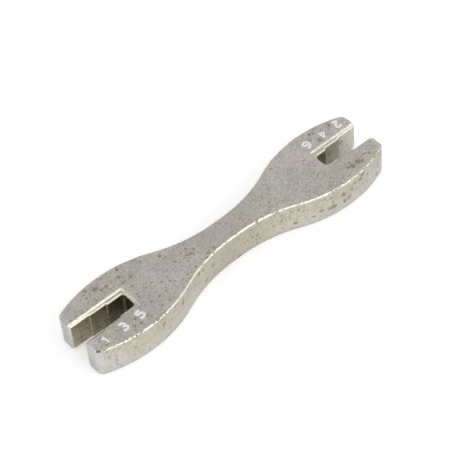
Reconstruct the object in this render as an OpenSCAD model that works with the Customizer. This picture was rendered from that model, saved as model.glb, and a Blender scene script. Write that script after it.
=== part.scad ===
// Double-ended spoke wrench: one flat casting with a stepped open jaw in each head.
// Millimetres. X runs along the wrench, Z is up, and the origin is under its middle.
// The head at -X has jaws 1, 3 and 5 from its tip inwards, the head at +X jaws 2, 4 and 6.

/* [Outline] */
// Length from tip to tip
overall_length = 100; // [90:1:120]
// Width of each head at its widest place
head_width = 22; // [20:0.1:26]
// Width of the grip at its narrowest place
waist_width = 7.6; // [6:0.1:12]
// Length of the straight stretch at the narrowest place
waist_straight = 3.2; // [1:0.1:10]
// Thickness of the casting
thickness = 9.9; // [6:0.1:14]
// Distance from each tip back to the widest place of its head
head_setback = 15; // [12:0.1:18]
// Radius of the long curved sides of each head
head_side_radius = 37.8; // [32:0.1:44]
// Radius of the outer corner of each jaw tip, seen from above
tip_corner_radius = 2; // [1:0.1:2.6]
// Width of the small bevel along the outer edges
edge_break = 0.4; // [0.2:0.05:0.7]

/* [Jaw gaps] */
// Gap of jaw 1, at the tip of the odd head
jaw_1_gap = 6.2; // [5.8:0.05:6.8]
// Gap of jaw 2, at the tip of the even head
jaw_2_gap = 6; // [5.5:0.05:6.6]
// Gap of jaw 3, halfway into the odd head
jaw_3_gap = 5.6; // [5:0.05:6]
// Gap of jaw 4, halfway into the even head
jaw_4_gap = 5.3; // [4.5:0.05:5.7]
// Gap of jaw 5, at the throat of the odd head
jaw_5_gap = 4.8; // [4.2:0.05:5.3]
// Gap of jaw 6, at the throat of the even head
jaw_6_gap = 4.2; // [3.6:0.05:5]

/* [Jaw reaches] */
// Distance from a tip to the end of its widest gap
wide_reach = 6.2; // [4:0.1:8]
// Distance from a tip to the end of its middle gap
middle_reach = 11.5; // [9:0.1:13]
// Distance from the tip to the throat in the odd head
odd_throat_reach = 16.9; // [15:0.1:20]
// Distance from the tip to the throat in the even head
even_throat_reach = 15.6; // [14.5:0.1:20]
// Radius of the two upright corners in each throat
throat_corner_radius = 0.9; // [0.4:0.05:1.4]
// Radius of the two upright corners at each mouth
mouth_corner_radius = 0.7; // [0.3:0.05:1]

/* [Lead-in pockets] */
// Width of the shallow pocket round each jaw, at the face of the casting
pocket_width = 8; // [7.6:0.1:10]
// Depth of each pocket, whose sides slope at 45 degrees
pocket_depth = 0.45; // [0.2:0.05:0.6]
// Distance that each pocket runs on past its throat
pocket_margin = 0.8; // [0.5:0.1:2]

/* [Hidden] */
$fn = 96;

// Overrun of every cut past the metal that it removes
cut_overrun = 1;
// Overlap that lets neighbouring curves cross each other cleanly
blend_overlap = 0.004;

half_length = overall_length / 2;
head_half = head_width / 2;
waist_half = waist_width / 2;

// The widest place of a head, and the centre of the arc along its +Y side
head_x = half_length - head_setback;
head_side_y = head_half - head_side_radius;

// The arc from each end of the straight waist is drawn so that it runs into the arc of the head
waist_x = waist_straight / 2;
waist_low = waist_half - blend_overlap;
arc_run = head_x - waist_x;
arc_rise = head_half - waist_low;
arc_span = (arc_run ^ 2 + arc_rise ^ 2 - blend_overlap ^ 2) / (2 * (arc_rise - blend_overlap));
waist_radius = arc_span - head_side_radius;
waist_y = waist_low + waist_radius;

// Direction from the centre of a head's arc to the centre of the nearer waist arc
blend_line = [waist_x - head_x, waist_y - head_side_y];
blend_out = blend_line / norm(blend_line);
blend_reach = head_side_radius + edge_break + cut_overrun;
blend_point = [head_x, head_side_y] + blend_out * blend_reach;
blend_axis_x = head_x - blend_out.x * head_side_y / blend_out.y;

// The outer corner of a jaw tip touches the tip's plane and the arc along the side
corner_x = half_length - tip_corner_radius;
corner_arm = head_side_radius - tip_corner_radius;
corner_y = head_side_y + sqrt(corner_arm ^ 2 - (corner_x - head_x) ^ 2);
corner_out = ([corner_x, corner_y] - [head_x, head_side_y]) / corner_arm;
corner_reach = 2 * tip_corner_radius + cut_overrun;

odd_gaps = [jaw_1_gap, jaw_3_gap, jaw_5_gap];
even_gaps = [jaw_2_gap, jaw_4_gap, jaw_6_gap];

// One wall of a jaw from past the mouth to the throat's corner, with a 45 degree ramp at each step
function jaw_wall(gaps, throat_reach) = [
    [half_length + cut_overrun, gaps[0] / 2],
    [half_length - wide_reach, gaps[0] / 2],
    [half_length - wide_reach - (gaps[0] - gaps[1]) / 2, gaps[1] / 2],
    [half_length - middle_reach, gaps[1] / 2],
    [half_length - middle_reach - (gaps[1] - gaps[2]) / 2, gaps[2] / 2],
    [half_length - throat_reach + throat_corner_radius, gaps[2] / 2]
];

// Solid disc as thick as the casting, with both rims bevelled
module bevelled_disc(radius) {
    rotate_extrude()
        polygon([
            [0, 0],
            [radius - edge_break, 0],
            [radius, edge_break],
            [radius, thickness - edge_break],
            [radius - edge_break, thickness],
            [0, thickness]
        ]);
}

// Half section of a cutter that flares past both faces, so that it leaves bevelled edges
module flared_section(reach) {
    flare = reach + edge_break + cut_overrun;
    polygon([
        [0, -cut_overrun],
        [flare, -cut_overrun],
        [reach, edge_break],
        [reach, thickness - edge_break],
        [flare, thickness + cut_overrun],
        [0, thickness + cut_overrun]
    ]);
}

// What is cut away beside the waist on the +Y side: a straight stretch between two arcs
module waist_cutter() {
    for (side = [-1, 1])
        translate([side * waist_x, waist_y, 0])
            rotate_extrude()
                flared_section(waist_radius);
    translate([-waist_x, waist_y, 0])
        rotate([90, 0, 90])
            mirror([1, 0, 0])
                linear_extrude(height = waist_straight)
                    flared_section(waist_y - waist_half);
}

// Upright slab that ends at the jaw tips, with its end edges bevelled
module tip_slab() {
    translate([0, head_width, 0])
        rotate([90, 0, 0])
            linear_extrude(height = 2 * head_width)
                polygon([
                    [0, 0],
                    [half_length - edge_break, 0],
                    [half_length, edge_break],
                    [half_length, thickness - edge_break],
                    [half_length - edge_break, thickness],
                    [0, thickness]
                ]);
}

// What the rounded corner on the +Y side of the +X tip leaves to be removed
module tip_corner_cutter() {
    difference() {
        translate([corner_x, corner_y, -cut_overrun])
            linear_extrude(height = thickness + 2 * cut_overrun)
                polygon([
                    [0, 0],
                    [corner_reach, 0],
                    [corner_reach, corner_reach],
                    corner_out * corner_reach
                ]);
        translate([corner_x, corner_y, 0])
            bevelled_disc(tip_corner_radius + blend_overlap);
    }
}

// One head without its jaw: two wide arcs that meet along the wrench, cut off at the tip
module head_blank() {
    difference() {
        intersection() {
            translate([head_x, head_side_y, 0]) bevelled_disc(head_side_radius);
            translate([head_x, -head_side_y, 0]) bevelled_disc(head_side_radius);
            tip_slab();
        }
        tip_corner_cutter();
        mirror([0, 1, 0]) tip_corner_cutter();
    }
}

// The metal between the heads, before the waist is cut in from both sides
module grip_blank() {
    linear_extrude(height = thickness)
        polygon([
            [blend_axis_x, 0],
            blend_point,
            [-blend_point.x, blend_point.y],
            [-blend_axis_x, 0],
            -blend_point,
            [blend_point.x, -blend_point.y]
        ]);
}

// What the rounded corner on the +Y side of the mouth at +X leaves to be removed, in plan
module mouth_corner_plan(gap) {
    translate([half_length - mouth_corner_radius, gap / 2])
        difference() {
            translate([0, -cut_overrun])
                square([mouth_corner_radius + cut_overrun, mouth_corner_radius + cut_overrun]);
            translate([0, mouth_corner_radius])
                circle(r = mouth_corner_radius + blend_overlap);
        }
}

// Plan of one jaw at +X: three gaps that step down from the rounded mouth to the rounded throat
module jaw_plan(gaps, throat_reach) {
    wall = jaw_wall(gaps, throat_reach);
    throat_x = half_length - throat_reach;
    throat_flat = gaps[2] - 2 * throat_corner_radius;
    polygon(concat(wall, [for (place = [len(wall) - 1 : -1 : 0]) [wall[place].x, -wall[place].y]]));
    translate([throat_x, -throat_flat / 2])
        square([throat_reach, throat_flat]);
    for (side = [-1, 1])
        translate([throat_x + throat_corner_radius, side * throat_flat / 2])
            circle(r = throat_corner_radius);
    mouth_corner_plan(gaps[0]);
    mirror([0, 1]) mouth_corner_plan(gaps[0]);
}

// Shallow pocket round one jaw at +X, sunk into the upper face with sloping sides and end
module lead_in_pocket(throat_reach) {
    face_half = pocket_width / 2;
    floor_half = face_half - pocket_depth;
    floor_z = thickness - pocket_depth;
    top_half = face_half + cut_overrun;
    top_z = thickness + cut_overrun;
    face_x = half_length - throat_reach - pocket_margin;
    floor_x = face_x + pocket_depth;
    mouth_x = half_length + cut_overrun;
    intersection() {
        rotate([90, 0, 90])
            linear_extrude(height = mouth_x)
                polygon([
                    [-floor_half, floor_z],
                    [floor_half, floor_z],
                    [top_half, top_z],
                    [-top_half, top_z]
                ]);
        translate([0, head_width, 0])
            rotate([90, 0, 0])
                linear_extrude(height = 2 * head_width)
                    polygon([
                        [floor_x, floor_z],
                        [mouth_x, floor_z],
                        [mouth_x, top_z],
                        [face_x - cut_overrun, top_z]
                    ]);
    }
}

// Everything that is cut out of the head at +X for one jaw
module jaw_cutter(gaps, throat_reach) {
    translate([0, 0, -cut_overrun])
        linear_extrude(height = thickness + 2 * cut_overrun)
            jaw_plan(gaps, throat_reach);
    lead_in_pocket(throat_reach);
    translate([0, 0, thickness])
        mirror([0, 0, 1])
            lead_in_pocket(throat_reach);
}

// The whole wrench, cast in one piece
module wrench_body() {
    color("#b5b1a9")
        difference() {
            union() {
                grip_blank();
                head_blank();
                mirror([1, 0, 0]) head_blank();
            }
            waist_cutter();
            mirror([0, 1, 0]) waist_cutter();
            jaw_cutter(even_gaps, even_throat_reach);
            rotate([0, 0, 180]) jaw_cutter(odd_gaps, odd_throat_reach);
        }
}

wrench_body();
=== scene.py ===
"""A double-ended spoke wrench: its worn, plated casting and the numbers cast on its heads."""
import math

import bmesh
import bpy
from mathutils import Matrix, Vector


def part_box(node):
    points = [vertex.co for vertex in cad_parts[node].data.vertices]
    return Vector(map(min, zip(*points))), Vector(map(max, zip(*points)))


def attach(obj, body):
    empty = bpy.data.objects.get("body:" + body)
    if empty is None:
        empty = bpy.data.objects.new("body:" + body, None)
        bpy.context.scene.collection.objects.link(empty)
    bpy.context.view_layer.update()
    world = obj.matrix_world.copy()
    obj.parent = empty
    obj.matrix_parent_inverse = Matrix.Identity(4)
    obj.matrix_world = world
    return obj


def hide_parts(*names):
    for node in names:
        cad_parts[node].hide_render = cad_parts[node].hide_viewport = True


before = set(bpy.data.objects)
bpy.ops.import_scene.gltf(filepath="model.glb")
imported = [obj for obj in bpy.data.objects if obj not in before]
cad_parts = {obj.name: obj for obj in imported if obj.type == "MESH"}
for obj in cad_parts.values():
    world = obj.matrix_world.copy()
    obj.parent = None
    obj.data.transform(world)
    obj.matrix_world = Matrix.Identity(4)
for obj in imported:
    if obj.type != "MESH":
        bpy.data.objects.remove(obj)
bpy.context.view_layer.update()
scene = bpy.context.scene
scene.view_settings.view_transform = "Standard"

# Lengths are in millimetres, and finished pieces are scaled to metres by this
MM = 0.001

# Plan of the casting, as in the solid
HALF_LENGTH = 50.0
HEAD_HALF = 11.0
WAIST_HALF = 3.8
WAIST_STRAIGHT_HALF = 1.6
HEAD_X = 35.0
HEAD_SIDE_RADIUS = 37.8
TIP_CORNER_RADIUS = 2.0
MOUTH_CORNER_RADIUS = 0.7
THROAT_CORNER_RADIUS = 0.9
WIDE_REACH = 6.2
MIDDLE_REACH = 11.5
ODD_GAPS = (6.2, 5.6, 4.8)
EVEN_GAPS = (6.0, 5.3, 4.2)
ODD_THROAT_REACH = 16.9
EVEN_THROAT_REACH = 15.6

# Curves of the plan: each waist arc runs into the arc of its head
ARC_RUN = HEAD_X - WAIST_STRAIGHT_HALF
ARC_RISE = HEAD_HALF - WAIST_HALF
ARC_SPAN = (ARC_RUN ** 2 + ARC_RISE ** 2) / (2 * ARC_RISE)
WAIST_RADIUS = ARC_SPAN - HEAD_SIDE_RADIUS
BLEND_ANGLE = math.asin(ARC_RUN / ARC_SPAN)
CORNER_X = HALF_LENGTH - TIP_CORNER_RADIUS
CORNER_ANGLE = math.asin((CORNER_X - HEAD_X) / (HEAD_SIDE_RADIUS - TIP_CORNER_RADIUS))
RIGHT_ANGLE = math.pi / 2

# How many straight pieces each curve is drawn with
WAIST_STEPS = 18
HEAD_SIDE_STEPS = 34
TIP_CORNER_STEPS = 12
SMALL_CORNER_STEPS = 8

# Lead-in pockets round the jaws, and the place where the grip ends and a head begins
POCKET_HALF = 4.0
POCKET_DEPTH = 0.45
POCKET_MARGIN = 0.8
EVEN_POCKET_END = HALF_LENGTH - EVEN_THROAT_REACH - POCKET_MARGIN
ODD_POCKET_END = HALF_LENGTH - ODD_THROAT_REACH - POCKET_MARGIN
NECK_X = 28.0

# The numbers stand on the upper face, and their crowns are level with the top of the solid
SOLID_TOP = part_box("wrench_body")[1].z / MM
NUMBER_RISE = 0.2
FACE_Z = SOLID_TOP - NUMBER_RISE

# The upper rim and the jaws have small bevels, and the lower rim and the brims of the pockets are rounded
UPPER_RIM = 0.36
JAW_EDGE = 0.4
LOWER_RIM = 0.6
LOWER_RIM_STEPS = 5
POCKET_BRIM = 0.4
POCKET_BRIM_STEPS = 3

# An edge sharper than this stays sharp, and a face that points up or down by this much is flat
SHARP_ANGLE = math.radians(40)
FLAT_FACE = 0.99
# A face folded by more than this is split, and places closer than this count as one
FOLD_ANGLE = 0.01
MERGE = 0.0001


def draw_line(bm, pen, x, y):
    """Carries the plan on in a straight line to a place."""
    end = bmesh.ops.extrude_vert_indiv(bm, verts=[pen])["verts"][0]
    end.co = (x, y, 0)
    return end


def draw_arc(bm, pen, centre, angle, steps):
    """Carries the plan on round an arc about a centre."""
    made = bmesh.ops.spin(bm, geom=[pen], cent=(*centre, 0), axis=(0, 0, 1), angle=angle, steps=steps)
    return [item for item in made["geom_last"] if isinstance(item, bmesh.types.BMVert)][0]


def draw_jaw_side(bm, pen, gaps, throat_reach):
    """Carries the plan on from a tip, round the mouth and down the steps to the middle of the throat."""
    wide_half, middle_half, throat_half = [gap / 2 for gap in gaps]
    mouth_x = HALF_LENGTH - MOUTH_CORNER_RADIUS
    mouth_y = wide_half + MOUTH_CORNER_RADIUS
    pen = draw_line(bm, pen, HALF_LENGTH, mouth_y)
    pen = draw_arc(bm, pen, (mouth_x, mouth_y), -RIGHT_ANGLE, SMALL_CORNER_STEPS)
    pen = draw_line(bm, pen, HALF_LENGTH - WIDE_REACH, wide_half)
    pen = draw_line(bm, pen, HALF_LENGTH - WIDE_REACH - wide_half + middle_half, middle_half)
    pen = draw_line(bm, pen, HALF_LENGTH - MIDDLE_REACH, middle_half)
    pen = draw_line(bm, pen, HALF_LENGTH - MIDDLE_REACH - middle_half + throat_half, throat_half)
    throat_x = HALF_LENGTH - throat_reach + THROAT_CORNER_RADIUS
    throat_y = throat_half - THROAT_CORNER_RADIUS
    pen = draw_line(bm, pen, throat_x, throat_half)
    pen = draw_arc(bm, pen, (throat_x, throat_y), RIGHT_ANGLE, SMALL_CORNER_STEPS)
    draw_line(bm, pen, HALF_LENGTH - throat_reach, 0)


def draw_head(bm, gaps, throat_reach, turn):
    """Draws the plan of one head with its half of the waist, turned about the middle of the wrench."""
    old = set(bm.verts)
    pen = bm.verts.new((0, WAIST_HALF, 0))
    pen = draw_line(bm, pen, WAIST_STRAIGHT_HALF, WAIST_HALF)
    pen = draw_arc(bm, pen, (WAIST_STRAIGHT_HALF, WAIST_HALF + WAIST_RADIUS), BLEND_ANGLE, WAIST_STEPS)
    head_side = (HEAD_X, HEAD_HALF - HEAD_SIDE_RADIUS)
    pen = draw_arc(bm, pen, head_side, -BLEND_ANGLE - CORNER_ANGLE, HEAD_SIDE_STEPS)
    corner_y = pen.co.y - TIP_CORNER_RADIUS * math.cos(CORNER_ANGLE)
    pen = draw_arc(bm, pen, (CORNER_X, corner_y), CORNER_ANGLE - RIGHT_ANGLE, TIP_CORNER_STEPS)
    draw_jaw_side(bm, pen, gaps, throat_reach)
    side = [v for v in bm.verts if v not in old]
    edges = list({e for v in side for e in v.link_edges})
    bmesh.ops.mirror(bm, geom=side + edges, matrix=Matrix.Identity(4), axis="Y", merge_dist=MERGE)
    head = [v for v in bm.verts if v not in old]
    bmesh.ops.rotate(bm, verts=head, cent=(0, 0, 0), matrix=Matrix.Rotation(turn, 3, "Z"))


def inside_jaw(edge):
    """Tells an edge of a jaw's own wall from one of the outer rim."""
    widest = max(ODD_GAPS) / 2 + MERGE
    mouth_x = HALF_LENGTH - MOUTH_CORNER_RADIUS + MERGE
    return all(abs(v.co.y) <= widest and NECK_X < abs(v.co.x) <= mouth_x for v in edge.verts)


def edges_of_face(bm, height):
    """Gives the edges where the flat face at one height meets the walls."""
    return [e for e in bm.edges if all(abs(v.co.z - height) < MERGE for v in e.verts)
            and e.calc_face_angle(0) > SHARP_ANGLE]


def bevel_edges(bm, edges, width, steps):
    """Bevels edges, or rounds them where there are several steps."""
    bmesh.ops.bevel(bm, geom=edges, offset=width, offset_type="OFFSET", segments=steps,
                    profile=0.5, affect="EDGES", material=-1, clamp_overlap=True)


def break_edges(bm):
    """Breaks the outer rims and the upper and lower edges of the jaws."""
    bevel_edges(bm, [e for e in edges_of_face(bm, FACE_Z) if not inside_jaw(e)], UPPER_RIM, 1)
    bevel_edges(bm, [e for e in edges_of_face(bm, 0) if not inside_jaw(e)], LOWER_RIM, LOWER_RIM_STEPS)
    for height in (FACE_Z, 0):
        bevel_edges(bm, [e for e in edges_of_face(bm, height) if inside_jaw(e)], JAW_EDGE, 1)


def score_faces(bm, place, normal):
    """Scores the flat faces and the blunt tips of the heads along a plane."""
    faces = [f for f in bm.faces if all(abs(v.co.x) >= NECK_X - MERGE for v in f.verts)
             and (abs(f.normal.z) > FLAT_FACE or all(abs(v.co.x) > CORNER_X for v in f.verts))]
    edges = list({e for f in faces for e in f.edges})
    verts = list({v for f in faces for v in f.verts})
    bmesh.ops.bisect_plane(bm, geom=verts + edges + faces, dist=MERGE, plane_co=place, plane_no=normal)


def score_necks(bm):
    """Scores both faces across the necks, so that later scores stay on the heads."""
    for neck in (NECK_X, -NECK_X):
        flats = [f for f in bm.faces if abs(f.normal.z) > FLAT_FACE]
        parts = list({e for f in flats for e in f.edges}) + list({v for f in flats for v in f.verts})
        bmesh.ops.bisect_plane(bm, geom=flats + parts, dist=MERGE, plane_co=(neck, 0, 0), plane_no=(1, 0, 0))


def pocket_run(place):
    """Gives how far a place in plan lies inside the outline of its head's pocket."""
    end_run = abs(place.x) - (EVEN_POCKET_END if place.x > 0 else ODD_POCKET_END)
    return min(end_run, POCKET_HALF - abs(place.y))


def press_pockets(bm):
    """Presses the shallow lead-in pocket round each jaw into both faces, and rounds its brim."""
    score_necks(bm)
    for inset in (0, POCKET_DEPTH):
        score_faces(bm, (EVEN_POCKET_END + inset, 0, 0), (1, 0, 0))
        score_faces(bm, (-ODD_POCKET_END - inset, 0, 0), (1, 0, 0))
        score_faces(bm, (0, POCKET_HALF - inset, 0), (0, 1, 0))
        score_faces(bm, (0, inset - POCKET_HALF, 0), (0, 1, 0))
    for v in bm.verts:
        depth = max(0, min(pocket_run(v.co), POCKET_DEPTH))
        v.co.z += -depth if v.co.z > FACE_Z / 2 else depth
    bmesh.ops.connect_verts_nonplanar(bm, angle_limit=FOLD_ANGLE, faces=bm.faces[:])
    for height in (FACE_Z, 0):
        brim = [e for e in bm.edges if all(abs(v.co.z - height) < MERGE and abs(pocket_run(v.co)) < MERGE
                                           for v in e.verts)]
        bevel_edges(bm, brim, POCKET_BRIM, POCKET_BRIM_STEPS)


def finish_piece(bm, name):
    """Turns a shape drawn in millimetres into an object in metres."""
    bmesh.ops.scale(bm, vec=(MM, MM, MM), verts=bm.verts[:])
    for f in bm.faces:
        f.smooth = True
    for e in bm.edges:
        e.smooth = e.calc_face_angle(0) < SHARP_ANGLE
    mesh = bpy.data.meshes.new(name)
    bm.to_mesh(mesh)
    bm.free()
    piece = bpy.data.objects.new(name, mesh)
    scene.collection.objects.link(piece)
    return piece


def make_casting():
    """Makes the whole body of the wrench in one piece."""
    bm = bmesh.new()
    draw_head(bm, EVEN_GAPS, EVEN_THROAT_REACH, 0)
    draw_head(bm, ODD_GAPS, ODD_THROAT_REACH, math.pi)
    bmesh.ops.remove_doubles(bm, verts=bm.verts[:], dist=MERGE)
    plan = bmesh.ops.contextual_create(bm, geom=bm.edges[:])["faces"]
    made = bmesh.ops.extrude_face_region(bm, geom=plan)["geom"]
    upper = [item for item in made if isinstance(item, bmesh.types.BMVert)]
    bmesh.ops.translate(bm, verts=upper, vec=(0, 0, FACE_Z))
    bmesh.ops.recalc_face_normals(bm, faces=bm.faces[:])
    break_edges(bm)
    press_pockets(bm)
    piece = finish_piece(bm, "casting")
    piece.modifiers.new("flat_faces", "WEIGHTED_NORMAL").keep_sharp = True
    return piece


# Strokes of each number, upright about its middle, with how bold the stroke is where that changes
NUMBER_STROKES = {
    1: [(-0.75, 0.45, 1.3), (-0.35, 0.85, 1.2), (0.1, 1.2, 0.9), (0.15, 0.5, 0.85), (0.15, -0.5, 0.85),
        (0.15, -1.25, 1)],
    2: [(-0.85, 0.6), (-0.6, 1.05), (0, 1.2), (0.65, 1), (0.85, 0.55), (0.4, 0), (-0.4, -0.6), (-0.85, -1.2),
        (0, -1.2), (0.95, -1.15)],
    3: [(-0.85, 0.95), (-0.4, 1.2), (0.1, 1.2), (0.7, 0.95), (0.75, 0.45), (0.3, 0.1), (-0.25, 0.05),
        (0.45, -0.05), (0.9, -0.4), (0.85, -0.9), (0.3, -1.2), (-0.3, -1.2), (-0.9, -0.85)],
    4: [(0.45, -1.3, 0.8), (0.45, -0.5, 0.8), (0.45, 0.5, 0.8), (0.45, 1.3, 0.8), (-0.2, 0.5, 0.7),
        (-0.95, -0.45, 0.7), (-0.2, -0.5, 0.8), (1, -0.5, 0.8)],
    5: [(0.85, 1.2), (0.1, 1.2), (-0.65, 1.2), (-0.75, 0.65), (-0.75, 0.15), (-0.1, 0.35), (0.55, 0.2),
        (0.95, -0.25), (0.85, -0.8), (0.35, -1.15), (-0.3, -1.2), (-0.9, -0.9)],
    6: [(0.7, 1.15), (0, 1.2), (-0.55, 0.85), (-0.85, 0.25), (-0.9, -0.4), (-0.65, -0.95), (0, -1.2),
        (0.65, -1), (0.9, -0.55), (0.65, -0.05), (0.05, 0.1), (-0.5, -0.05)],
}
# Middle of each number on the upper face, odd ones upright and even ones turned round
NUMBER_PLACES = {
    1: (-45.7, -6.5), 3: (-39.9, -6.3), 5: (-34.4, -6.2),
    2: (46.4, 6.5), 4: (41.0, 6.5), 6: (35.2, 6.6),
}
STROKE_HALF_WIDTH = 0.55
STROKE_HALF_HEIGHT = 0.3
STROKE_SMOOTHNESS = 2


def draw_stroke(number):
    """Draws the stroke of one number as a smooth solid rod about the number's own middle."""
    bm = bmesh.new()
    skin = bm.verts.layers.skin.verify()
    pen = None
    for x, y, *boldness in NUMBER_STROKES[number]:
        pen = draw_line(bm, pen, x, y) if pen else bm.verts.new((x, y, 0))
        half_width = STROKE_HALF_WIDTH * (boldness[0] if boldness else 1)
        pen[skin].radius = (half_width, half_width)
    bm.verts.ensure_lookup_table()
    bm.verts[0][skin].use_root = True
    mesh = bpy.data.meshes.new("stroke")
    bm.to_mesh(mesh)
    bm.free()
    stroke = bpy.data.objects.new("stroke", mesh)
    scene.collection.objects.link(stroke)
    stroke.modifiers.new("body", "SKIN").use_smooth_shade = True
    smooth = stroke.modifiers.new("smooth", "SUBSURF")
    smooth.levels = STROKE_SMOOTHNESS
    smooth.render_levels = STROKE_SMOOTHNESS
    bpy.context.view_layer.update()
    solid = stroke.evaluated_get(bpy.context.evaluated_depsgraph_get()).to_mesh()
    bm = bmesh.new()
    bm.from_mesh(solid)
    bpy.data.objects.remove(stroke)
    return bm


def make_number(number):
    """Makes one raised number from a rounded stroke that is half sunk in the face."""
    bm = draw_stroke(number)
    bmesh.ops.recalc_face_normals(bm, faces=bm.faces[:])
    crown = max(v.co.z for v in bm.verts)
    bmesh.ops.scale(bm, vec=(1, 1, STROKE_HALF_HEIGHT / crown), verts=bm.verts[:])
    turn = 0 if number % 2 else math.pi
    bmesh.ops.rotate(bm, verts=bm.verts[:], cent=(0, 0, 0), matrix=Matrix.Rotation(turn, 3, "Z"))
    place = (*NUMBER_PLACES[number], SOLID_TOP - STROKE_HALF_HEIGHT)
    bmesh.ops.translate(bm, verts=bm.verts[:], vec=place)
    return finish_piece(bm, f"number_{number}")


# Helpers that lay out the shader nodes
def add_node(tree, kind, inputs=None, **settings):
    """Adds a shader node, sets its options, and links or fills its inputs."""
    made = tree.nodes.new(kind)
    for name, value in settings.items():
        setattr(made, name, value)
    for name, value in (inputs or {}).items():
        if isinstance(value, bpy.types.NodeSocket):
            tree.links.new(value, made.inputs[name])
        else:
            made.inputs[name].default_value = value
    return made


def arithmetic(tree, operation, first, second=0.0, third=0.0):
    """Adds one step of arithmetic and gives its result."""
    return add_node(tree, "ShaderNodeMath", {0: first, 1: second, 2: third}, operation=operation).outputs[0]


def vector_step(tree, operation, first, second, third=(0, 0, 0)):
    """Adds one step of arithmetic on places and gives its node."""
    return add_node(tree, "ShaderNodeVectorMath", {0: first, 1: second, 2: third}, operation=operation)


def both(tree, first, *others):
    """Gives where all of some masks hold at once."""
    for other in others:
        first = arithmetic(tree, "MULTIPLY", first, other)
    return first


def either(tree, first, second):
    """Gives where one of two masks holds."""
    return arithmetic(tree, "MAXIMUM", first, second)


def ramp(tree, value, low, high, out_low=0.0, out_high=1.0):
    """Takes a value smoothly from one level to another as it passes between two limits."""
    limits = {"Value": value, "From Min": low, "From Max": high, "To Min": out_low, "To Max": out_high}
    return add_node(tree, "ShaderNodeMapRange", limits, interpolation_type="SMOOTHSTEP").outputs[0]


def blend_colours(tree, share, under, over, way="MIX"):
    """Lays one colour over another by a share."""
    made = add_node(tree, "ShaderNodeMix", {0: share, 6: under, 7: over}, data_type="RGBA", blend_type=way)
    return made.outputs[2]


def noise_node(tree, place, waves, octaves=2.0, rough=0.5):
    """Adds a cloudy noise with so many waves to a millimetre."""
    settings = {"Vector": place, "Scale": waves, "Detail": octaves, "Roughness": rough}
    return add_node(tree, "ShaderNodeTexNoise", settings)


def noise(tree, place, waves, octaves=2.0, rough=0.5):
    """Gives a cloudy noise from 0 to 1."""
    return noise_node(tree, place, waves, octaves, rough).outputs["Fac"]


# Middle of a noise that runs from 0 to 1 in each direction
NOISE_MIDDLE = (0.5, 0.5, 0.5)


def ragged(tree, place, waves, reach):
    """Shoves places about by up to half a reach, so that round shapes come out ragged."""
    shove = noise_node(tree, place, waves).outputs["Color"]
    shove = vector_step(tree, "SUBTRACT", shove, NOISE_MIDDLE).outputs[0]
    return vector_step(tree, "MULTIPLY_ADD", shove, (reach, reach, reach), place).outputs[0]


# How far a spot spreads, as a share of its radius
SPOT_SPREAD = 1.4


def closeness(tree, place, spots):
    """Gives how close a place is to one of some spots, from 0 at its edge to 1 at its middle."""
    total = None
    for *centre, radius in spots:
        away = vector_step(tree, "DISTANCE", place, centre).outputs["Value"]
        near = ramp(tree, away, SPOT_SPREAD * radius, 0.0)
        total = near if total is None else either(tree, total, near)
    return total


def new_group(name, inputs, outputs):
    """Starts a node group with named sockets."""
    group = bpy.data.node_groups.new(name, "ShaderNodeTree")
    for label, kind in inputs.items():
        group.interface.new_socket(name=label, in_out="INPUT", socket_type=kind)
    for label, kind in outputs.items():
        group.interface.new_socket(name=label, in_out="OUTPUT", socket_type=kind)
    return group, group.nodes.new("NodeGroupInput"), group.nodes.new("NodeGroupOutput")


def add_group(tree, group, place):
    """Puts a node group into a material and gives it the place on the piece."""
    made = add_node(tree, "ShaderNodeGroup", node_tree=group)
    tree.links.new(place, made.inputs["Place"])
    return made


def new_material(name):
    """Starts a material and gives its nodes, its shader, and the place on the piece in millimetres."""
    material = bpy.data.materials.new(name)
    material.use_nodes = True
    tree = material.node_tree
    where = add_node(tree, "ShaderNodeTexCoord").outputs["Object"]
    place = vector_step(tree, "MULTIPLY", where, (1 / MM, 1 / MM, 1 / MM)).outputs[0]
    return material, tree, tree.nodes["Principled BSDF"], place


# Each fade has the two limits where it starts and ends, then its levels there where they aren't 0 and 1

# Skin of the casting: waves of its noises, and what they add to its tone and height
GRAIN_WAVES = 2.0
GRAIN_ROUGHNESS = 0.6
CLOUD_WAVES = 0.35
DRIFT_WAVES = 0.11
GLINT_WAVES = 2.3
GRAIN_TONE = 0.6
CLOUD_TONE = 0.2
DRIFT_TONE = 0.2
CLOUD_HEIGHT = 1.5
TONE_FADE = (0.36, 0.64)
GLINT_FADE = (0.64, 0.78)


def cast_skin_group():
    """Grain and cloudy tone of a cast surface under thin plating, with specks of painted glint."""
    group, given, result = new_group("cast_skin", {"Place": "NodeSocketVector"},
                                     {"Height": "NodeSocketFloat", "Tone": "NodeSocketFloat",
                                      "Glint": "NodeSocketFloat"})
    place = given.outputs["Place"]
    grain = noise(group, place, GRAIN_WAVES, rough=GRAIN_ROUGHNESS)
    cloud = noise(group, place, CLOUD_WAVES)
    drift = noise(group, place, DRIFT_WAVES, octaves=1.0)
    glint = noise(group, place, GLINT_WAVES, octaves=1.0)
    height = arithmetic(group, "MULTIPLY_ADD", cloud, CLOUD_HEIGHT, grain)
    tone = arithmetic(group, "MULTIPLY", grain, GRAIN_TONE)
    tone = arithmetic(group, "MULTIPLY_ADD", drift, DRIFT_TONE, tone)
    tone = arithmetic(group, "MULTIPLY_ADD", cloud, CLOUD_TONE, tone)
    group.links.new(height, result.inputs["Height"])
    group.links.new(ramp(group, tone, *TONE_FADE), result.inputs["Tone"])
    group.links.new(ramp(group, glint, *GLINT_FADE), result.inputs["Glint"])
    return group


# Cell size, common share, share added by crowding, and smallest and largest radius of each layer of pits
PIT_LAYERS = ((0.8, 0.8, 0.2, 0.14, 0.34), (1.25, 0.14, 0.7, 0.16, 0.44))
# How strongly each layer shows, and how wide the soft rim of a pit is
PIT_STRENGTHS = (0.5, 0.65)
PIT_RIM = 0.14
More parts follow.
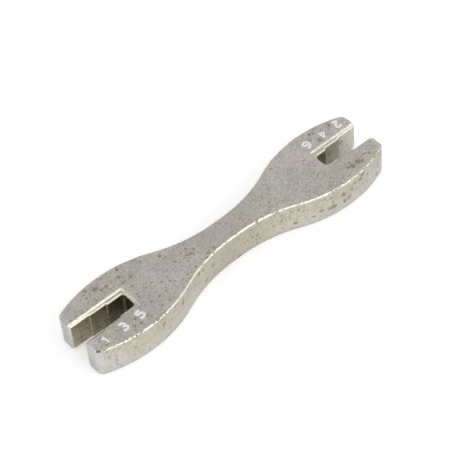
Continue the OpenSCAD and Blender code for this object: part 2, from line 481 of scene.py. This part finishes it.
# Pits are ragged, a little longer than wide, and lean up along the side of the wrench
FLECK_LEAN = (0, math.radians(-25), 0)
FLECK_STRETCH = (1.6, 1, 1)
FLECK_RAGGED_WAVES = 1.8
FLECK_RAGGED_REACH = 1.0
# Patches where pits are common, and where the larger ones are rusty
PIT_PATCH_WAVES = 0.14
PIT_PATCH_FADE = (0.4, 0.7, 0.0, 0.5)
PIT_RUST_WAVES = 0.5
PIT_RUST_FADE = (0.42, 0.62, 0.0, 0.45)


def pits_group():
    """Small irregular pits that crowd together in places, where they are larger and rusty."""
    group, given, result = new_group("pits", {"Place": "NodeSocketVector", "Crowding": "NodeSocketFloat"},
                                     {"Pit": "NodeSocketFloat", "Rust": "NodeSocketFloat"})
    leaning = {"Vector": given.outputs["Place"], "Rotation": FLECK_LEAN, "Scale": FLECK_STRETCH}
    place = add_node(group, "ShaderNodeMapping", leaning, vector_type="TEXTURE").outputs[0]
    warped = ragged(group, place, FLECK_RAGGED_WAVES, FLECK_RAGGED_REACH)
    patches = ramp(group, noise(group, place, PIT_PATCH_WAVES, octaves=1.0), *PIT_PATCH_FADE)
    crowd = arithmetic(group, "ADD", patches, given.outputs["Crowding"])
    layers = []
    for cell, common, crowded, smallest, largest in PIT_LAYERS:
        cells = add_node(group, "ShaderNodeTexVoronoi", {"Vector": warped, "Scale": 1 / cell}, feature="F1")
        chance = add_node(group, "ShaderNodeSeparateColor", {"Color": cells.outputs["Color"]})
        distance = arithmetic(group, "MULTIPLY", cells.outputs["Distance"], cell)
        share = arithmetic(group, "MULTIPLY_ADD", crowd, crowded, common)
        there = arithmetic(group, "LESS_THAN", chance.outputs[0], share)
        size = arithmetic(group, "MULTIPLY_ADD", chance.outputs[1], largest - smallest, smallest)
        inside = ramp(group, arithmetic(group, "SUBTRACT", size, distance), 0.0, PIT_RIM)
        layers.append(both(group, inside, there))
    rusty = ramp(group, noise(group, place, PIT_RUST_WAVES, octaves=1.0), *PIT_RUST_FADE)
    rust = both(group, layers[-1], rusty)
    fine, coarse = [both(group, layer, strength) for layer, strength in zip(layers, PIT_STRENGTHS)]
    group.links.new(either(group, fine, coarse), result.inputs["Pit"])
    group.links.new(rust, result.inputs["Rust"])
    return group


# Wide stretches where pits crowd together, each with its radius
PITTED_STRETCHES = (
    (-27, 0, 10, 8), (-15, 1, 10, 8), (-37, 8, 10, 4), (39, -7.5, 10, 4), (28, -10.3, 5, 5),
    (33.5, -11, 5, 6), (39, -11, 5, 6), (43.5, -10, 5, 5), (-20, -7, 6, 4),
)
# Corner of one tip where the edge is black with grime
GRIMY_CORNER = ((-49.5, -7.6, 9.55, 0.45), (-49.25, -7.9, 9.55, 0.45), (-48.95, -8.15, 9.55, 0.4))

# Colours of the plating, of its painted glints, of its pale foot, a painted reflection of the floor, of the
# lighter tips and of the edges, partly worn and partly painted highlight
PLATING = (0.73, 0.69, 0.608, 1)
PLATING_DULL = (0.532, 0.502, 0.439, 1)
PLATING_GLINT = (0.88, 0.85, 0.78, 1)
PALE_FOOT = (0.78, 0.765, 0.735, 1)
TIP_COLOUR = (0.81, 0.802, 0.772, 1)
TIP_COLOUR_DULL = (0.59, 0.582, 0.558, 1)
EDGE_BRIGHT_AND_HIGHLIGHT = (0.93, 0.88, 0.74, 1)
EDGE_DULL = (0.38, 0.34, 0.24, 1)
# The sides are warmer than the faces, by this filter
SIDE_WARMTH = (1, 0.993, 0.95, 1)
# Colour of the reflection at a low angle, which the rough plating keeps from turning white
GLANCING_TINT = (0.8, 0.79, 0.76, 1)
# Colours of rust and grime
PIT_DARK = (0.3, 0.265, 0.2, 1)
RUST_BROWN = (0.3, 0.228, 0.132, 1)
JAW_GRIME = (0.06, 0.05, 0.03, 1)
TIP_GRIME = (0.07, 0.06, 0.04, 1)
FOOT_SHADE = (0.33, 0.31, 0.27, 1)
# Tarnish with painted shade on the wide, middle and narrow stretch of each jaw, darker deeper in and darkest
# in the odd head
ODD_JAW_TARNISH_AND_SHADE = ((0.5, 0.437, 0.32, 1), (0.355, 0.295, 0.192, 1), (0.15, 0.117, 0.066, 1))
EVEN_JAW_TARNISH_AND_SHADE = ((0.745, 0.706, 0.627, 1), (0.54, 0.49, 0.4, 1), (0.258, 0.22, 0.16, 1))

# Slopes that count as edges, by how far they face up
EDGE_SLOPE_START = (0.5, 0.6)
EDGE_SLOPE_END = (0.9, 0.8)
# Wear and painted highlight on the edges, which are brightest on the grip and more even in the pockets
WEAR_WAVES = 1.5
WEAR_ROUGHNESS = 0.6
WEAR_FADE = (0.4, 0.55)
GRIP_WEAR_FADE = (30.0, 18.0, 0.0, 0.15)
POCKET_WEAR = 0.65
POCKET_WEAR_CHANGE = 0.3


def edge_wear_and_highlight(tree, place, along, facing, open_skin):
    """Gives where the sloped edges are, and their colour, partly worn and partly a painted, broken highlight.
    """
    edge = both(tree, ramp(tree, facing, *EDGE_SLOPE_START), ramp(tree, facing, *EDGE_SLOPE_END))
    rubbed = noise(tree, place, WEAR_WAVES, rough=WEAR_ROUGHNESS)
    rubbed = arithmetic(tree, "ADD", rubbed, ramp(tree, along, *GRIP_WEAR_FADE))
    bright = ramp(tree, rubbed, *WEAR_FADE)
    even = arithmetic(tree, "MULTIPLY_ADD", bright, POCKET_WEAR_CHANGE, POCKET_WEAR)
    bright = arithmetic(tree, "MULTIPLY_ADD", open_skin, arithmetic(tree, "SUBTRACT", bright, even), even)
    return edge, blend_colours(tree, bright, EDGE_DULL, EDGE_BRIGHT_AND_HIGHLIGHT)


# Stains of rust: a ragged core in a patchy halo
STAIN_RAGGED_WAVES = 1.6
STAIN_RAGGED_REACH = 1.2
STAIN_PATCH_WAVES = 1.3
STAIN_PATCH_FADE = (0.42, 0.62)
STAIN_HALO_FADE = (0.05, 0.5, 0.0, 0.45)
STAIN_CORE_FADE = (0.45, 0.8, 0.0, 0.75)


def rust_stain(tree, place, spots):
    """Gives the ragged stain round each spot of rust."""
    near = closeness(tree, ragged(tree, place, STAIN_RAGGED_WAVES, STAIN_RAGGED_REACH), spots)
    patchy = ramp(tree, noise(tree, place, STAIN_PATCH_WAVES), *STAIN_PATCH_FADE)
    halo = both(tree, ramp(tree, near, *STAIN_HALO_FADE), patchy)
    return either(tree, halo, ramp(tree, near, *STAIN_CORE_FADE))


# Inside of the jaws: the length of the change at each step and from head to head, and the mottled grime
STEP_CHANGE = 0.4
HEAD_CHANGE = (1.0, -1.0)
MOTTLE_WAVES = 0.8
MOTTLE_OCTAVES = 3.0
MOTTLE_ROUGHNESS = 0.65
MOTTLE_FADE = (0.5, 0.7, 0.0, 0.45)


def jaw_tarnish_and_shade(tree, place, along, side):
    """Gives the colour of the jaws inside: tarnish with painted shade that darkens at each step deeper into
    the jaw, mottled with grime.
    """
    wide_end = HALF_LENGTH - WIDE_REACH
    middle_end = HALF_LENGTH - MIDDLE_REACH
    past_wide = ramp(tree, along, wide_end, wide_end - STEP_CHANGE)
    past_middle = ramp(tree, along, middle_end, middle_end - STEP_CHANGE)
    heads = []
    for wide, middle, narrow in (EVEN_JAW_TARNISH_AND_SHADE, ODD_JAW_TARNISH_AND_SHADE):
        outer = blend_colours(tree, past_wide, wide, middle)
        heads.append(blend_colours(tree, past_middle, outer, narrow))
    tarnish_and_shade = blend_colours(tree, ramp(tree, side, *HEAD_CHANGE), *heads)
    mottle = noise(tree, place, MOTTLE_WAVES, MOTTLE_OCTAVES, MOTTLE_ROUGHNESS)
    return blend_colours(tree, ramp(tree, mottle, *MOTTLE_FADE), tarnish_and_shade, JAW_GRIME)


# Grime along the upper edge of the even tips, and at the corner of an odd one
TIP_EDGE_ALONG = (49.5, 49.75)
TIP_EDGE_UP = (9.2, 9.35)
TIP_EDGE_ACROSS = (4.0, 4.4, 0.0, 0.6)
GRIMY_CORNER_FADE = (0.0, 1.0, 0.0, 0.85)


def tip_grime(tree, place, side, across, up):
    """Gives the grime along the upper edge of the even tips, and on one corner of the odd ones."""
    edge = both(tree, ramp(tree, side, *TIP_EDGE_ALONG), ramp(tree, up, *TIP_EDGE_UP),
                ramp(tree, across, *TIP_EDGE_ACROSS))
    return either(tree, edge, ramp(tree, closeness(tree, place, GRIMY_CORNER), *GRIMY_CORNER_FADE))


# Where the walls of the jaws and the pockets round them lie
JAW_ACROSS = (3.25, 3.12)
JAW_ALONG = (32.0, 32.5)
JAW_UP = (9.2, 8.9)
POCKET_ACROSS = (4.3, 4.1)
POCKET_ALONG = (31.8, 32.3)
POCKET_UP = (8.7, 8.9)


def inside_jaws(tree, along, across, up):
    """Gives 1 on the walls inside the jaws, and 0 elsewhere."""
    return both(tree, ramp(tree, across, *JAW_ACROSS), ramp(tree, along, *JAW_ALONG), ramp(tree, up, *JAW_UP))


def outside_pockets(tree, along, across, up):
    """Gives 0 on the clean slopes and floors of the pockets, and 1 elsewhere."""
    pocket = both(tree, ramp(tree, across, *POCKET_ACROSS), ramp(tree, along, *POCKET_ALONG),
                  ramp(tree, up, *POCKET_UP))
    return arithmetic(tree, "SUBTRACT", 1.0, pocket)


# The grip is darker, a painted shade in the hollow waist, and the sides are paler at the foot of the heads,
# along one neck and beside the tips, a painted reflection of the floor
GRIP_SHADE_FADE = (13.0, 6.0, 0.0, 0.32)
PALE_FOOT_UP = (6.5, 1.5, 0.0, 0.5)
PALE_FOOT_ALONG = (8.0, 20.0)
PALE_NECK_X = -16.0
PALE_NECK_FADE = (13.0, 7.0)
PALE_TIP_FADE = (40.0, 46.0)
PALE_SIDE_UP = (9.5, 7.0, 0.0, 0.28)
# The tips are lighter and more neutral, the upright sides warm, and the lower edge darker with painted
# contact shade
TIP_COLOUR_FADE = (47.0, 49.8)
UPRIGHT_FADE = (0.5, 0.3)
WARM_ALONG = (46.0, 36.0)
WARM_UP = (1.0, 5.0, 0.5, 1.0)
FOOT_UP = (0.8, 0.4, 0.0, 0.6)
FOOT_FACING = (-0.97, -0.85)


def plating_colour(tree, surface, along, side, up, facing):
    """Gives the colour of the outer skin before edges, pits and rust, with painted glints, painted shade at
    the waist and along the lower edge, and a painted floor reflection low on the sides.
    """
    tone = surface.outputs["Tone"]
    colour = blend_colours(tree, tone, PLATING_DULL, PLATING)
    # Painted glints: bright specks laid into the colour
    colour = blend_colours(tree, surface.outputs["Glint"], colour, PLATING_GLINT)
    # Painted shade: the plating is darker in the hollow waist
    colour = blend_colours(tree, ramp(tree, along, *GRIP_SHADE_FADE), colour, PLATING_DULL)
    # Painted reflection of the floor: the sides are paler low on the heads, along one neck and beside the
    # tips
    pale_foot = both(tree, ramp(tree, up, *PALE_FOOT_UP), ramp(tree, along, *PALE_FOOT_ALONG))
    colour = blend_colours(tree, pale_foot, colour, PALE_FOOT)
    from_neck = arithmetic(tree, "ABSOLUTE", arithmetic(tree, "SUBTRACT", side, PALE_NECK_X))
    pale_side = either(tree, ramp(tree, from_neck, *PALE_NECK_FADE), ramp(tree, along, *PALE_TIP_FADE))
    pale_side = both(tree, pale_side, ramp(tree, up, *PALE_SIDE_UP))
    colour = blend_colours(tree, pale_side, colour, PALE_FOOT)
    # The tips are lighter and more neutral
    tip = blend_colours(tree, tone, TIP_COLOUR_DULL, TIP_COLOUR)
    colour = blend_colours(tree, ramp(tree, along, *TIP_COLOUR_FADE), colour, tip)
    upright = ramp(tree, arithmetic(tree, "ABSOLUTE", facing), *UPRIGHT_FADE)
    warm = both(tree, upright, ramp(tree, along, *WARM_ALONG), ramp(tree, up, *WARM_UP))
    colour = blend_colours(tree, warm, colour, SIDE_WARMTH, "MULTIPLY")
    # Painted contact shade: darker along the lower edge
    foot = both(tree, ramp(tree, up, *FOOT_UP), ramp(tree, facing, *FOOT_FACING))
    return blend_colours(tree, foot, colour, FOOT_SHADE)


# The jaw's tarnish and painted shade thin with the tone of the skin, and the even jaw and the tips have few
# pits or none
JAW_TONE_FADE = (0.0, 1.0, 1.0, 0.8)
CLEAN_JAW_FADE = (-1.0, 1.0, 0.0, 0.8)
CLEAN_TIP_FADE = (49.5, 48.5)
# Roughness of the plating, what its tone and the pits add to it, and the depth of its grain and pits
PLATING_ROUGHNESS = 0.33
TONE_ROUGHNESS = 0.1
PIT_ROUGHNESS = 0.25
PIT_HEIGHT = -1.5
GRAIN_DEPTH = 0.00015
GRAIN_STRENGTH = 0.8


def plated_casting_material(skin, pits, rust_spots):
    """Worn plating over a pitted casting with spots of rust, with painted highlights on its edges and tarnish
    with painted shade inside the jaws.
    """
    material, tree, shader, place = new_material("plated_casting")
    surface = add_group(tree, skin, place)
    tone = surface.outputs["Tone"]
    holes = add_group(tree, pits, place)
    tree.links.new(closeness(tree, place, PITTED_STRETCHES), holes.inputs["Crowding"])
    side, width, up = add_node(tree, "ShaderNodeSeparateXYZ", {0: place}).outputs
    along = arithmetic(tree, "ABSOLUTE", side)
    across = arithmetic(tree, "ABSOLUTE", width)
    normal = add_node(tree, "ShaderNodeTexCoord").outputs["Normal"]
    facing = add_node(tree, "ShaderNodeSeparateXYZ", {0: normal}).outputs["Z"]
    inside = both(tree, inside_jaws(tree, along, across, up), ramp(tree, tone, *JAW_TONE_FADE))
    open_skin = outside_pockets(tree, along, across, up)
    clean = both(tree, inside, ramp(tree, side, *CLEAN_JAW_FADE))
    unclean = arithmetic(tree, "SUBTRACT", 1.0, clean)
    pitted = both(tree, open_skin, ramp(tree, along, *CLEAN_TIP_FADE), unclean)
    pit = both(tree, holes.outputs["Pit"], pitted)
    rust = both(tree, holes.outputs["Rust"], pitted)
    rust = either(tree, rust, both(tree, rust_stain(tree, place, rust_spots), open_skin))
    edge, worn_and_highlit = edge_wear_and_highlight(tree, place, along, facing, open_skin)
    colour = plating_colour(tree, surface, along, side, up, facing)
    # Edges partly worn and partly painted highlight
    colour = blend_colours(tree, edge, colour, worn_and_highlit)
    # Tarnish with painted shade inside the jaws
    colour = blend_colours(tree, inside, colour, jaw_tarnish_and_shade(tree, place, along, side))
    colour = blend_colours(tree, pit, colour, blend_colours(tree, inside, PIT_DARK, JAW_GRIME))
    colour = blend_colours(tree, rust, colour, RUST_BROWN)
    colour = blend_colours(tree, tip_grime(tree, place, side, across, up), colour, TIP_GRIME)
    tree.links.new(colour, shader.inputs["Base Color"])
    rough = arithmetic(tree, "MULTIPLY_ADD", tone, TONE_ROUGHNESS, PLATING_ROUGHNESS)
    rough = arithmetic(tree, "MULTIPLY_ADD", pit, PIT_ROUGHNESS, rough)
    tree.links.new(rough, shader.inputs["Roughness"])
    shader.inputs["Metallic"].default_value = 1
    shader.inputs["Specular Tint"].default_value = GLANCING_TINT
    height = arithmetic(tree, "MULTIPLY_ADD", pit, PIT_HEIGHT, surface.outputs["Height"])
    relief = {"Height": height, "Strength": GRAIN_STRENGTH, "Distance": GRAIN_DEPTH}
    tree.links.new(add_node(tree, "ShaderNodeBump", relief).outputs["Normal"], shader.inputs["Normal"])
    return material


# The numbers are rubbed and painted near white as a highlight, with painted shade at their foot
RUBBED_AND_HIGHLIT = (0.98, 0.97, 0.95, 1)
NUMBER_FOOT_SHADE = (0.3, 0.27, 0.17, 1)
NUMBER_FOOT_SHADE_FADE = (FACE_Z + 0.1, FACE_Z + 0.02, 0.0, 0.8)
NUMBER_ROUGHNESS = 0.15
NUMBER_METAL = 0.1
NUMBER_GRAIN_DEPTH = 0.0004
NUMBER_GRAIN_STRENGTH = 1.0


def rubbed_highlit_number_material(skin):
    """Plating rubbed and painted near white as a highlight, with painted shade at the foot of the strokes."""
    material, tree, shader, place = new_material("rubbed_highlit_numbers")
    surface = add_group(tree, skin, place)
    up = add_node(tree, "ShaderNodeSeparateXYZ", {0: place}).outputs["Z"]
    # Near-white strokes stand in for the highlight, darkened at their foot as painted shade
    colour = blend_colours(tree, ramp(tree, up, *NUMBER_FOOT_SHADE_FADE), RUBBED_AND_HIGHLIT, NUMBER_FOOT_SHADE)
    tree.links.new(colour, shader.inputs["Base Color"])
    rough = arithmetic(tree, "MULTIPLY_ADD", surface.outputs["Tone"], TONE_ROUGHNESS, NUMBER_ROUGHNESS)
    tree.links.new(rough, shader.inputs["Roughness"])
    shader.inputs["Metallic"].default_value = NUMBER_METAL
    relief = {"Height": surface.outputs["Height"], "Strength": NUMBER_GRAIN_STRENGTH,
              "Distance": NUMBER_GRAIN_DEPTH}
    tree.links.new(add_node(tree, "ShaderNodeBump", relief).outputs["Normal"], shader.inputs["Normal"])
    return material


# Floor that looks white and still takes the wrench's shadow
FLOOR_HALF = 3000
FLOOR_WHITE = (0.95, 0.95, 0.95, 1)
FLOOR_GLOW = 0.3
FLOOR_GLOW_IN_METAL = 0.13


def make_floor():
    """Lays a plain white floor."""
    bm = bmesh.new()
    bmesh.ops.create_grid(bm, x_segments=1, y_segments=1, size=FLOOR_HALF)
    floor = finish_piece(bm, "floor")
    material = bpy.data.materials.new("white_floor")
    material.use_nodes = True
    tree = material.node_tree
    tree.nodes.clear()
    ray = add_node(tree, "ShaderNodeLightPath")
    mirrored = either(tree, ray.outputs["Is Glossy Ray"], ray.outputs["Is Transmission Ray"])
    mirrored = arithmetic(tree, "MULTIPLY", mirrored, FLOOR_GLOW_IN_METAL)
    strength = arithmetic(tree, "MULTIPLY_ADD", ray.outputs["Is Camera Ray"], FLOOR_GLOW, mirrored)
    matt = add_node(tree, "ShaderNodeBsdfDiffuse", {"Color": FLOOR_WHITE})
    glow = add_node(tree, "ShaderNodeEmission", {"Strength": strength})
    look = add_node(tree, "ShaderNodeAddShader", {0: matt.outputs[0], 1: glow.outputs[0]})
    add_node(tree, "ShaderNodeOutputMaterial", {"Surface": look.outputs[0]})
    floor.data.materials.append(material)


# Camera at the photograph's viewing angle
VIEW_AZIMUTH = -37.14
VIEW_ELEVATION = 49.62
VIEW_ROLL = -5.61
VIEW_DISTANCE = 459.85
VIEW_TARGET = (5.45, 7.46, 0)
VIEW_LENS = 136.31
VIEW_SENSOR = 36


def aim(azimuth, elevation):
    """Gives the turn that looks at the middle from an azimuth and an elevation."""
    return (Matrix.Rotation(math.radians(azimuth), 4, "Z")
            @ Matrix.Rotation(math.radians(90 - elevation), 4, "X"))


def viewpoint():
    """Gives the place and turn of the camera that took the photograph."""
    turn = aim(VIEW_AZIMUTH, VIEW_ELEVATION)
    spot = (Vector(VIEW_TARGET) + turn @ Vector((0, 0, VIEW_DISTANCE))) * MM
    roll = Matrix.Rotation(math.radians(VIEW_ROLL), 4, "Z")
    return Matrix.Translation(spot) @ turn @ roll


def place_camera():
    """Sets up the camera where the photograph was taken from."""
    camera = bpy.data.objects.new("camera", bpy.data.cameras.new("camera"))
    camera.data.lens = VIEW_LENS
    camera.data.sensor_width = VIEW_SENSOR
    camera.data.sensor_fit = "HORIZONTAL"
    camera.matrix_world = viewpoint()
    scene.collection.objects.link(camera)
    scene.camera = camera


# Width and height of the photograph, in pixels
PHOTO_SIZE = 450
# Spots of rust, given as how many pixels right and down the photograph, and the radius in millimetres
RUST_IN_PHOTO = (
    (116.5, 270, 0.8), (119, 277, 0.7), (123, 283, 0.7), (85, 291.5, 0.6), (95, 289, 1.0),
    (101.5, 289.5, 0.7), (106.5, 286.5, 0.7), (98, 285, 0.6), (96.5, 299.5, 0.6), (148, 315.5, 0.7),
    (135, 319, 0.5), (141.5, 323, 0.6), (159, 256, 0.8), (175.5, 261.5, 0.6), (191.5, 253, 0.7),
    (193, 249, 0.5), (186.5, 255.5, 0.5), (161.5, 281.5, 0.5), (174, 281, 0.5), (187.5, 274.5, 0.5),
    (140, 262, 0.5), (214, 247.5, 0.7), (208, 252.5, 0.6), (162.5, 305.5, 0.5), (329, 125.5, 0.8),
    (309.5, 135, 0.8), (313, 133.5, 0.7), (319.5, 140, 0.9), (357.5, 161.5, 1.4), (352.5, 165.5, 1.1),
    (348.5, 167.5, 0.8), (362, 160.5, 0.8), (369, 153, 0.6), (328, 168.5, 0.6), (317.5, 175, 0.5),
    (203, 270, 0.8), (199, 274.5, 0.8), (212.5, 265, 0.8), (183, 303, 0.9), (164, 324.5, 0.8),
    (362.5, 174, 1.2), (360, 179, 1.2), (355, 182.5, 0.9), (352, 189, 0.8), (344, 194, 1.2),
    (349, 197.5, 1.0), (345, 200.5, 0.9), (334, 206.5, 1.3), (322, 210.5, 0.9), (295.5, 223, 0.9),
    (282, 220.5, 0.7), (376.5, 173, 0.9), (116.5, 359.5, 0.4), (117, 361.5, 0.35), (117.5, 364, 0.4),
    (118, 366, 0.35),
)


def find_rust(casting):
    """Finds where the line of sight to each spot of rust in the photograph meets the casting."""
    view = viewpoint()
    ahead = -PHOTO_SIZE * VIEW_LENS / VIEW_SENSOR
    bpy.context.view_layer.update()
    spots = []
    for right, down, radius in RUST_IN_PHOTO:
        sight = Vector((right - PHOTO_SIZE / 2, PHOTO_SIZE / 2 - down, ahead))
        place = casting.ray_cast(view.translation, view.to_3x3() @ sight)[1]
        spots.append((*(place / MM), radius))
    return spots


# Round soft light in front of the wrench, with its distance and size in metres
LAMP_AZIMUTH = 20
LAMP_ELEVATION = 31
LAMP_DISTANCE = 1.2
LAMP_SIZE = 0.8
LAMP_POWER = 1.65


def place_softbox():
    """Hangs a round soft light that faces the middle of the wrench."""
    light = bpy.data.lights.new("front_right", "AREA")
    light.shape = "DISK"
    light.size = LAMP_SIZE
    light.energy = LAMP_POWER
    lamp = bpy.data.objects.new("front_right", light)
    lamp.matrix_world = aim(LAMP_AZIMUTH, LAMP_ELEVATION) @ Matrix.Translation((0, 0, LAMP_DISTANCE))
    scene.collection.objects.link(lamp)


# White tent round the wrench, darker near the floor, and the grey opening that the upper face mirrors
TENT_WHITE = (0.92, 0.92, 0.93, 1)
TENT_LOW = (0.6, 0.6, 0.615, 1)
TENT_LOW_ANGLES = (6, 35)
OPENING_GREY = (0.57, 0.57, 0.59, 1)
OPENING_AZIMUTH = 166
OPENING_ELEVATION = 58
OPENING_HALF_ANGLES = (42, 14)


def set_world():
    """Surrounds the wrench with a white tent that has a darker opening behind it."""
    world = bpy.data.worlds.new("studio")
    world.use_nodes = True
    tree = world.node_tree
    way = add_node(tree, "ShaderNodeTexCoord").outputs["Generated"]
    opening = aim(OPENING_AZIMUTH, OPENING_ELEVATION).col[2].to_3d()
    nearness = vector_step(tree, "DOT_PRODUCT", way, opening).outputs["Value"]
    edges = [math.cos(math.radians(half)) for half in OPENING_HALF_ANGLES]
    rise = add_node(tree, "ShaderNodeSeparateXYZ", {0: way}).outputs["Z"]
    heights = [math.sin(math.radians(angle)) for angle in TENT_LOW_ANGLES]
    tone = blend_colours(tree, ramp(tree, rise, *heights), TENT_LOW, TENT_WHITE)
    tone = blend_colours(tree, ramp(tree, nearness, *edges), tone, OPENING_GREY)
    tree.links.new(tone, tree.nodes["Background"].inputs["Color"])
    scene.world = world


casting = make_casting()
cast_skin = cast_skin_group()
plated_casting = plated_casting_material(cast_skin, pits_group(), find_rust(casting))
rubbed_highlit_numbers = rubbed_highlit_number_material(cast_skin)

casting.data.materials.append(plated_casting)
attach(casting, "root")
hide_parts("wrench_body")
for number in NUMBER_STROKES:
    raised = make_number(number)
    raised.data.materials.append(rubbed_highlit_numbers)
    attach(raised, "root")

make_floor()
place_camera()
set_world()
place_softbox()
